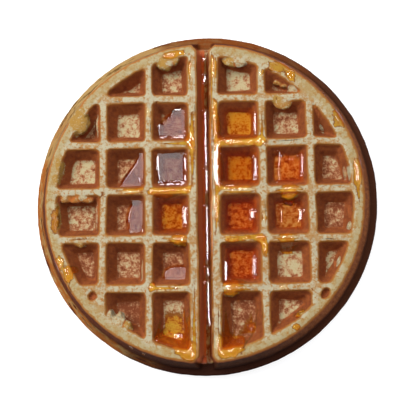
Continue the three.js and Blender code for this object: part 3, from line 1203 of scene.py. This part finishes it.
def pool(column, row, below, swells, syrup=AMBER, lean=(0, 0), outline=None, bead=0.0):
    """Syrup that stands so far below the face, out to the pocket's walls or to its own outline."""
    west, east, south, north = cell_at(column, row)
    level = THICKNESS - below
    if outline:
        centre = np.mean(outline, axis=0)
        reach = outline_reach(centre, outline)
    else:
        inset = wall_inset(below) - INTO_WALL
        middle = np.array([[(west + east) / 2, (south + north) / 2, 0.0]])
        centre = askew(middle)[0, :2]
        reach = box_reach((east - west) / 2 - inset, (north - south) / 2 - inset, POOL_CORNER)
    name = f"syrup_pool_column_{column}_row_{row}"
    climb, width = DARK_CLIMB if syrup is DEEP_AMBER else CLEAR_CLIMB
    top = pool_top(level, climb, width, bead, centre, reach, lean, swells)

    def under(x, y):
        return np.full(len(x), THICKNESS - POCKET_DEPTH - UNDER_FLOOR)

    piece = spread_sphere(name, centre, reach, top, under, POOL_SPOKES, POOL_RINGS)
    piece.data.materials.append(syrup)
    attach(piece, "root")
    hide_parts(f"syrup_column_{column}_row_{row}")
    return piece


# %% Pour the pools
shore_height = soften(crust_height, 1, 1)

# column, row, depth below the face, swells, then the syrup, its lean, its bead and its outline
pools = [
    pool(3, 2, 6.0, [(-9.4, 42.6, 0.9, 6.4, "west"), (-14.5, 35.0, 0.8, 5.0, "north")],
         DEEP_AMBER, bead=3.4, outline=[
        (-8, 53), (-13, 51.4), (-18.5, 48.8), (-22.4, 45.8), (-24.8, 41.5), (-25.4, 37.3),
        (-24.8, 33.6), (-16, 32.6), (-8.6, 32.4), (-7.2, 36), (-7, 45)]),
    pool(2, 3, 4.5, [(-33.6, 12.0, 1.0, 1.2, "west")], DEEP_AMBER, bead=3.0, outline=[
        (-31, 30), (-33.8, 26.6), (-37.4, 21.8), (-41.2, 17), (-44.4, 12.4), (-45.6, 8.4),
        (-43.2, 5.2), (-38.7, 4.4), (-33.6, 5), (-29.8, 8.4), (-28.8, 14.7), (-29, 23.7)]),
    pool(3, 3, 5.0, [(-24.0, 9.4, 1.2, 1.6, "west")], DEEP_AMBER),
    pool(2, 4, 5.5, [], DEEP_AMBER, bead=3.0, outline=[
        (-33, 5), (-37.4, 2.6), (-40.8, -2), (-42.4, -7.9), (-41.2, -13.4), (-37.6, -19),
        (-33, -20), (-30, -15.5), (-29.2, -7.5), (-29.6, 1.4)]),
    pool(3, 4, 3.0, [(-9.7, -8.4, 1.7, 4.4, "west", 0.01)], lean=(-0.045, 0.0)),
    pool(3, 5, 7.0, [], DEEP_AMBER, bead=2.6, outline=[
        (-20.4, -33), (-23, -37), (-22.2, -41.2), (-18.4, -44.2), (-12, -44.2), (-8.2, -42.4),
        (-7.2, -36.5), (-8, -32.8), (-14, -31.8)]),
    pool(4, 2, 4.0, [(27.3, 41.0, 1.0, 5.4, "west", -0.01)]),
    pool(4, 3, 1.5, [(27.4, 16.6, 1.3, 5.6, "west", 0.014), (13.0, 7.4, 0.8, 5.0, "north")]),
    pool(4, 4, 3.5, [(25.3, -7.8, 1.9, 2.3, "west", 0.04)], RED_AMBER),
    pool(4, 5, 4.0, [(11.4, -37.0, 1.7, 5.8, "east"), (25.9, -35.0, 1.3, 5.0, "west")], RED_AMBER),
    pool(5, 3, 4.5, [(39.8, 18.8, 1.0, 3.4, "east"), (51.4, 17.8, 1.0, 5.2, "west")],
         RED_AMBER, bead=3.0, outline=[
        (38, 28.2), (41, 25), (45, 23.6), (49.5, 24.8), (53.6, 28), (54, 20), (53.8, 12.8),
        (54.4, 6.6), (46, 6.4), (37.6, 6.4), (36.5, 12.8), (36.8, 20.8)]),
    pool(5, 4, 6.0, [(40.3, -9.0, 0.9, 4.4, "east"), (49.9, -8.4, 1.7, 2.8, "west")], DARK_AMBER),
]
print("pools:", len(pools))

# %% [markdown]
# ## Syrup in the groove
# A narrow strip lies along the groove's bottom. It is a fine grid, pulled down into a closed strip.
# Its top is a shallow trough, so that it mirrors a tube lamp overhead in one long broken line.

# %% Groove strip
STRIP_LEVEL = THICKNESS - GROOVE_DEPTH + 2.2
STRIP_ENDS = (-84.0, 81.5)
STRIP_HALF = 2.7
TROUGH_HALF, TROUGH_CURVE, TROUGH_FLANK = 0.38, 0.012, 0.12
# middle and half length of the stretches where the surface turns away and the line breaks
BREAKS = [(73, 3.5), (57, 7.0), (19, 1.0), (2, 3.2), (-32, 1.4), (-40, 1.6), (-72, 8.0)]

bpy.ops.object.select_all(action="DESELECT")
bpy.ops.mesh.primitive_grid_add(
    x_subdivisions=72,
    y_subdivisions=240,
    size=1,
    location=(GROOVE_MIDDLE * MM, sum(STRIP_ENDS) / 2 * MM, STRIP_LEVEL * MM),
)
strip = bpy.context.object
strip.name = strip.data.name = "syrup_strip_groove"
strip.scale = (2 * STRIP_HALF * MM, (STRIP_ENDS[1] - STRIP_ENDS[0]) * MM, 1)
settle(strip)
choose(strip, "faces", lambda centre, normal: True)
bpy.ops.mesh.extrude_region_move(TRANSFORM_OT_translate={"value": (0, 0, -3.0 * MM)})
bpy.ops.mesh.select_all(action="SELECT")
bpy.ops.mesh.normals_make_consistent(inside=False)
done()
strip_places = places(strip)
across = strip_places[:, 0] - GROOVE_MIDDLE
on_top = strip_places[:, 2] > STRIP_LEVEL - 0.5
waver = np.array([noise.noise(Vector((0.3, y / 14.0, 0.0))) for y in strip_places[:, 1]])
middle_line = np.abs(across - 0.5 - 0.3 * waver)
trough = TROUGH_CURVE / 2 * np.minimum(middle_line, TROUGH_HALF) ** 2
trough += TROUGH_FLANK * np.maximum(middle_line - TROUGH_HALF, 0)
lean = np.zeros(len(across))
for middle, half in BREAKS:
    lean += 0.32 * np.clip((half - np.abs(strip_places[:, 1] - middle)) / 0.7 + 0.5, 0, 1)
from_end = np.minimum(strip_places[:, 1] - STRIP_ENDS[0], STRIP_ENDS[1] - strip_places[:, 1])
ends_low = -2.0 * np.clip(1 - from_end / 4.0, 0, 1) ** 2
strip_places[:, 2] += on_top * (lean * across + trough + ends_low)
set_places(strip, askew(strip_places))
only(strip)
bpy.ops.object.shade_smooth_by_angle(angle=math.radians(50))
strip.data.materials.append(DEEP_AMBER)
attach(strip, "root")
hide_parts("syrup_groove")
print("groove strip:", triangles(strip), "triangles")

# %% [markdown]
# ## Drips and films
# Syrup has run over the ribs and the rim. Each patch has an outline and a thickness. A plain patch
# follows the softened crust below it, and one with a level fills up to that height. All of them are
# then fused into one skin by a voxel remesh, so that patches that meet flow together.

# %% Patches of syrup
# thickness and outline, then, for a patch that mirrors a lamp, its level and the lamp's side
PATCHES = [
    (0.5, [(6, 36), (8.5, 33.5), (14, 32.5), (24, 33), (29, 33.5), (32, 33), (33.5, 30), (33, 27),
        (30.5, 27.5), (24, 28), (16, 28.2), (9.5, 28.6), (6, 30), (5, 33)]),
    (0.5, [(5.4, 52.4), (7.4, 52.4), (8.8, 50), (9.2, 42), (9.2, 35), (8.2, 32.4), (6.2, 33),
        (5.6, 40)]),
    (0.5, [(9, 7.6), (18, 7.4), (27, 7.6), (25.5, 4.5), (22, 2.6), (18, 2.2), (14, 3), (10, 5)]),
    (0.1, [(7.4, 31.6), (9.8, 30), (9.4, 24), (9.2, 18), (9.2, 12), (10, 6.4), (8, 4.8), (6.2, 8),
        (5.2, 13), (4.9, 18), (5.1, 24), (6, 29)], 28.36, "west"),
    (0.1, [(6.4, 47.5), (7.7, 47.5), (7.8, 40), (7.9, 33), (6.6, 33), (6.3, 40)], 28.3, "west"),
    (0.1, [(7.4, 32.2), (12, 31.9), (18.6, 31.7), (18.6, 30.5), (12, 30.5),
        (8.2, 30.4)], 28.25, "north"),
    (0.1, [(8.4, 6.8), (13, 6.5), (18.4, 6.4), (18.4, 5.2), (12, 5), (8.6, 5.2)], 28.25, "north"),
    (0.5, [(5.3, 4), (9, 3.5), (9.3, -2), (9.2, -8), (9.4, -14), (7.5, -13), (6.2, -10), (5.4, -5),
        (5, 0)]),
    (0.7, [(10, -18), (18.2, -18), (18, -22.6), (12, -22.8), (9.6, -21)]),
    (0.6, [(19.5, -18), (23.6, -18), (24.2, -21.6), (20, -22.3)]),
    (0.7, [(26.5, -18), (31.5, -18), (33.5, -22.5), (33.5, -27), (31.5, -29.3), (29.8, -27),
        (29.6, -22.2), (26.8, -21.6)]),
    (0.5, [(30, -6), (32.5, -6.5), (32.3, -12), (30.2, -12)]),
    (0.8, [(40.5, 8.8), (49, 8.8), (48.8, 4), (48, 1.2), (46.6, -2.6), (44, -3.8), (41.6, -2.4),
        (40.6, 1.2), (40.3, 4.5)]),
    (0.7, [(38.6, -17.6), (45, -17.2), (47, -18.5), (46.6, -23), (45.4, -27), (42.6, -28.6),
        (40.2, -26.6), (38.4, -21)]),
    (0.6, [(37, -45), (39.5, -43.2), (43.6, -43.6), (43.2, -47), (39, -47.6)]),
    (0.7, [(46, -61), (46.8, -58.4), (49.4, -56.5), (53, -57), (52.6, -59), (49, -61)]),
    (0.5, [(44.5, -65), (46.2, -63), (48.5, -64.6), (47.8, -66.8), (45.2, -66.8)]),
    (1.2, [(10, -41.6), (14, -41.2), (18.3, -41.8), (18.6, -46), (17, -49), (14.4, -50.6),
        (11.6, -49), (10, -46)]),
    (0.8, [(16.8, -49), (17.8, -49), (17.8, -55.6), (17, -55.6)]),
    (1.6, [(20.6, -64), (22.4, -62.6), (25.4, -63.4), (26, -66.4), (23.6, -68.6), (21, -66.6)]),
    (1.3, [(5.4, -69), (9, -69.6), (14, -69.8), (19, -69.6), (21, -71.6), (20, -75), (18.2, -79),
        (14, -80.6), (9, -80.4), (6, -78)]),
    (0.7, [(3.2, 49), (4.8, 46.6), (8, 47.2), (8.4, 50), (5.6, 51)]),
    (0.5, [(3.4, 76), (7.8, 75.4), (8, 70), (7.4, 64), (5.2, 63.4), (3.6, 67)]),
    (0.5, [(29.4, 69), (33, 68.6), (33, 64.6), (30, 64)]),
    (1.1, [(44.5, 66.6), (46.4, 68.4), (48.6, 66.4), (48.4, 63), (46.2, 61.3), (44.4, 63.4)]),
    (0.5, [(63, 57), (64.6, 57), (65, 51), (63.6, 48.6), (62.8, 51)]),
    (0.2, [(77.4, 20), (80.5, 19), (82, 12), (81.4, 5.6), (79, 6), (77.6, 12)]),
    (0.3, [(-22, 76.5), (-17, 79.6), (-9, 80), (-7.5, 77), (-12, 75.6), (-18, 75.4)]),
    (0.4, [(-8, 74), (-5, 74), (-4.8, 66), (-7.8, 65)]),
    (0.8, [(-30.4, 50), (-27.2, 49), (-26.8, 45), (-29.4, 43.8), (-30.6, 46.4)]),
    (0.5, [(-9.5, 31), (-9, 35.5), (-6, 37), (-3.5, 34), (-3.2, 27), (-4.5, 24), (-6.5, 26),
        (-8, 28.5)]),
    (0.5, [(-28.5, 6), (-26, 7.7), (-14, 7.2), (-8, 7.7), (-5.5, 8), (-5, 5), (-8, 3.1),
        (-15, 2.2), (-22, 2.1), (-28, 3)]),
    (1.2, [(-16, -17.2), (-9, -17), (-8.2, -21), (-9.4, -23.6), (-12, -24.4), (-15, -23.4),
        (-16.4, -20.4)]),
    (0.7, [(-28.4, -44), (-26.6, -41.8), (-24.4, -43), (-25, -46), (-27.6, -46.6)]),
    (0.7, [(-23.6, -44.4), (-21.4, -43), (-19.4, -45), (-19.6, -48.2), (-21, -49), (-22.8, -47)]),
    (0.7, [(-15.2, -44), (-11, -43), (-9.4, -44.4), (-11.6, -46.6), (-14.8, -46.8)]),
    (1.3, [(-26, -69.6), (-20, -67), (-14, -67), (-9, -68), (-6.4, -72), (-3.8, -77),
        (-3.8, -81.4), (-7, -82.6), (-11, -80.6), (-15, -76.4), (-20, -73.6), (-24.4, -72.6)]),
    (0.5, [(-9, -55), (-6.4, -56), (-5.2, -66), (-5.6, -72), (-8.4, -70), (-9.4, -62)]),
    (0.7, [(-43, 5.6), (-39, 7.6), (-34, 6.2), (-31, 8.6), (-30.4, 5), (-33, 3), (-39, 2.6)]),
    (0.8, [(-73, -34), (-69.4, -31.8), (-66.6, -32.6), (-66.2, -36), (-68.4, -40.6), (-70, -43),
        (-72.4, -40)]),
    (0.5, [(-77, -30), (-74.6, -28), (-72.4, -30.6), (-73.6, -34.6), (-76, -33.4)]),
    (0.5, [(-39.6, -75), (-36.4, -76.8), (-35.6, -75.6), (-38.8, -73.8)]),
    (0.5, [(-33, -78.2), (-30, -79.4), (-29.6, -77.8), (-32.4, -76.8)]),
]
print("patches:", len(PATCHES))

# %% Lay the patches
PATCH_VOXEL = 0.36
HIGHEST = 28.78
EDGE_WAVER, EVEN_EDGE_WAVER = 1.1, 0.3

land = heights([crust, *pools])
soft_land = soften(land, 2, 2)


def patch_piece(number, thickness, outline, level=0.0, mirrors=None):
    centre = np.mean(outline, axis=0)
    reach = outline_reach(centre, outline)
    ring = Vector((number * 3.1, 0, 0))
    waver = EVEN_EDGE_WAVER if mirrors else EDGE_WAVER
    reach += waver * np.array([
        noise.noise(ring + Vector((math.cos(a), math.sin(a), 0)) * far / 2.5)
        for a, far in zip(TURN, reach)
    ])
    edge_x = centre[0] + reach * np.cos(TURN)
    edge_y = centre[1] + reach * np.sin(TURN)
    bead = 1.0 + 1.5 * thickness

    def top(x, y, share):
        inward = np.sqrt(((x[:, None] - edge_x) ** 2 + (y[:, None] - edge_y) ** 2).min(axis=1))
        base = read(soft_land, x, y)
        if mirrors:
            up = centre[1] - y
            if mirrors == "west":
                up = x - centre[0] - 0.012 * (y - centre[1]) ** 2
            base = np.maximum(base, level + mirror_slope(*centre, mirrors) * up)
        rim = np.clip(inward / bead, 0, 1)
        uneven = np.array([noise.noise(Vector((a / 3.5, b / 3.5, number))) for a, b in zip(x, y)])
        uneven *= 0.0 if mirrors else 0.7
        base = base + thickness * (1 + uneven) * np.sqrt(np.clip(1 - (1 - rim) ** 2, 0, 1))
        ground = read(land, x, y) - 0.25
        held = np.clip(1 - inward / 0.7, 0, 1) ** 2
        return np.minimum(base * (1 - held) + ground * held, HIGHEST)

    def floor(x, y):
        return read(soft_land, x, y) - 2.2

    return spread_sphere(f"patch_{number}", centre, reach, top, floor, 72, 32)


patches = [patch_piece(number, *patch) for number, patch in enumerate(PATCHES)]
film = join(patches, "syrup_films")
apply_modifier(film, "REMESH", mode="VOXEL", voxel_size=PATCH_VOXEL * MM)
apply_modifier(film, "SMOOTH", factor=0.5, iterations=4)
only(film)
bpy.ops.object.shade_smooth()
film.data.materials.append(AMBER)
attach(film, "root")
print("films:", triangles(film), "triangles")

# %% [markdown]
# ## Soaked crust
# Under a film the crust drinks syrup and turns golden and glossy. Rays dropped on the films from
# above find where syrup covers the crust. Some more places are only glazed.

# %% Soak
# west, east, south, north and how far
GLAZED = [
    (2.6, 5.6, -79, 81, 0.75),
    (-4.6, -2.4, -60, 60, 0.3),
    (34, 47, 66, 73, 0.6),
    (67, 74, 35, 47, 0.7),
    (77, 82.5, 5, 21, 0.7),
    (-78, -72, -36, -28, 0.8),
    (-21, -9, -67.5, -54, 0.6),
    (-80, -75, -18, 0, 0.5),
]


film_height = heights([film])
wetted = soften((film_height > land + 0.05).astype(float), 1, 2)
on_face = baked[:, 2] > read(crust_height, baked[:, 0], baked[:, 1]) - 1.0
soak = np.clip(1.6 * read(wetted, baked[:, 0], baked[:, 1]), 0, 1) * on_face
edge_shift = wobble(baked, 2.5, 0.9, 7)[:, 0]
glaze = np.zeros(len(baked))
for west, east, south, north, strength in GLAZED:
    wide, long = (east - west) / 2, (north - south) / 2
    out_x = np.abs(baked[:, 0] - (west + east) / 2) / wide
    out_y = np.abs(baked[:, 1] - (south + north) / 2) / long
    inside = (1 - (out_x**4 + out_y**4) ** 0.25) * min(wide, long)
    inside = np.clip((inside + edge_shift) / 1.2, 0, 1) * (baked[:, 2] > MIDDLE + 2)
    glaze = np.maximum(glaze, strength * inside)
store(crust, "soak", np.maximum(soak, glaze))
store(crust, "glaze", 0.8 * glaze)
print("soaked points:", int((soak > 0.5).sum()))

# %% [markdown]
# ## The studio
# A soft window from the upper left is the main light. Narrow ones to the west, east and north put
# bright lines on the pools' rims, a wide dim sheet hangs above the left half, where the still pools
# mirror it, and a thin tube hangs over the groove. The floor is white paper, lit a little from
# below.

# %% Floor
bpy.ops.object.select_all(action="DESELECT")
bpy.ops.mesh.primitive_plane_add(size=6.0, location=(0, 0, 0))
floor = bpy.context.object
floor.name = "studio_floor"
paper = Shader("studio_paper")
white = paper.node(
    "ShaderNodeBsdfPrincipled",
    {},
    Base_Color=(0.3, 0.3, 0.3),
    Roughness=0.9,
    Specular_IOR_Level=0.0,
    Emission_Color=(1.0, 1.0, 1.0),
    Emission_Strength=0.88,
)
floor.data.materials.append(paper.finish(white))
print("floor:", floor.name)

# %% Lamps


def softbox(name, place, aim, size, brightness, colour):
    """A flat lamp. Its brightness is what a mirror would show, 1 for white paper in the light."""
    lamp = bpy.data.lights.new(name, "AREA")
    lamp.shape = "RECTANGLE"
    lamp.size, lamp.size_y = size
    lamp.energy = brightness * math.pi * size[0] * size[1]
    lamp.color = colour
    holder = bpy.data.objects.new(name, lamp)
    bpy.context.scene.collection.objects.link(holder)
    holder.location = place
    holder.rotation_euler = (Vector(aim) - Vector(place)).to_track_quat("-Z", "Y").to_euler()


for name, lamp in LAMPS.items():
    softbox(name, *lamp)
print("lamps:", list(LAMPS))

# %% [markdown]
# ## Air and camera
# The air gives a dim bluish light, dimmer overhead, where the still pools would mirror it. The
# camera looks down from the south-east, at the place that the swells were tilted for.

# %% Air
world = bpy.data.worlds.new("studio_air")
world.use_nodes = True
air = world.node_tree
direction = air.nodes.new("ShaderNodeTexCoord").outputs["Generated"]
split = air.nodes.new("ShaderNodeSeparateXYZ")
air.links.new(direction, split.inputs[0])
fade = air.nodes.new("ShaderNodeMapRange")
fade.interpolation_type = "SMOOTHSTEP"
air.links.new(split.outputs[2], fade.inputs[0])
for socket, value in zip(fade.inputs[1:5], (0.72, 0.95, 0.27, 0.10)):
    socket.default_value = value
air.links.new(fade.outputs[0], air.nodes["Background"].inputs["Strength"])
air.nodes["Background"].inputs["Color"].default_value = (0.94, 0.98, 1.14, 1.0)
bpy.context.scene.world = world
print("air:", world.name)

# %% Camera
LENS = 90.08

right = Vector((0, 1, 0)).cross(back).normalized()
upward = back.cross(right)
turn = Matrix((right, upward, back)).transposed().to_4x4()
turn = turn @ Matrix.Rotation(math.radians(ROLL), 4, "Z")
camera_data = bpy.data.cameras.new("camera")
camera_data.lens = LENS
camera_data.sensor_width = 36.0
camera = bpy.data.objects.new("camera", camera_data)
bpy.context.scene.collection.objects.link(camera)
camera.matrix_world = Matrix.Translation(EYE * MM) @ turn
bpy.context.scene.camera = camera
bpy.context.scene.view_settings.view_transform = "Standard"
print("camera:", [round(place, 3) for place in camera.matrix_world.translation], "m")
